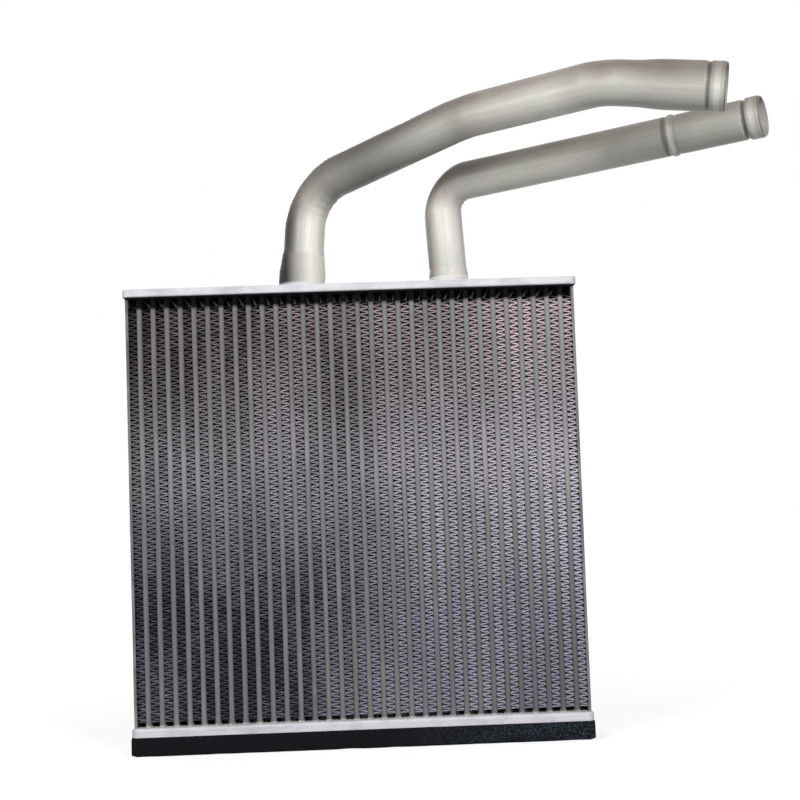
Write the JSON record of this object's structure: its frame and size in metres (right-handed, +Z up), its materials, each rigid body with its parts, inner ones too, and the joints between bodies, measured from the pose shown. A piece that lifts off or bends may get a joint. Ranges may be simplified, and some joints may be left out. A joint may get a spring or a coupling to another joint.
{
  "type": "heater core",
  "caption": "Car heater core: brazed aluminium block of flat water tubes and folded fins, shallow tanks above and below, two bent hose pipes on the upper tank and a foam seal strip underneath.",
  "frame": {"origin": "middle of the bottom face of the foam strip, on which the core stands upright", "axes": "+Z up along the flat water tubes, +X along the tanks towards the end that the pipe mouths point to, +Y through the depth of the block, away from the side that the pipe mouths lean to"},
  "size_m": [0.2773, 0.1402, 0.2775],
  "materials": {
    "tube": "satin",
    "fin": "satin",
    "plate": "satin",
    "pipe": "satin",
    "foam": "matte"
  },
  "bodies": {
    "root": {"water_tube_01": "tube", "water_tube_02": "tube", "water_tube_03": "tube", "water_tube_04": "tube", "water_tube_05": "tube", "water_tube_06": "tube", "water_tube_07": "tube", "water_tube_08": "tube", "water_tube_09": "tube", "water_tube_10": "tube", "water_tube_11": "tube", "water_tube_12": "tube", "water_tube_13": "tube", "water_tube_14": "tube", "water_tube_15": "tube", "water_tube_16": "tube", "water_tube_17": "tube", "water_tube_18": "tube", "water_tube_19": "tube", "water_tube_20": "tube", "water_tube_21": "tube", "water_tube_22": "tube", "water_tube_23": "tube", "water_tube_24": "tube", "water_tube_25": "tube", "water_tube_26": "tube", "water_tube_27": "tube", "water_tube_28": "tube", "water_tube_29": "tube", "water_tube_30": "tube", "water_tube_31": "tube", "water_tube_32": "tube", "fin_strips": "fin", "left_side_plate": "plate", "right_side_plate": "plate", "upper_header_plate": "plate", "lower_header_plate": "plate", "upper_tank": "plate", "lower_tank": "plate", "tank_baffle": "plate", "inlet_pipe": "pipe", "outlet_pipe": "pipe", "foam_seal": "foam"}
  },
  "joints": []
}
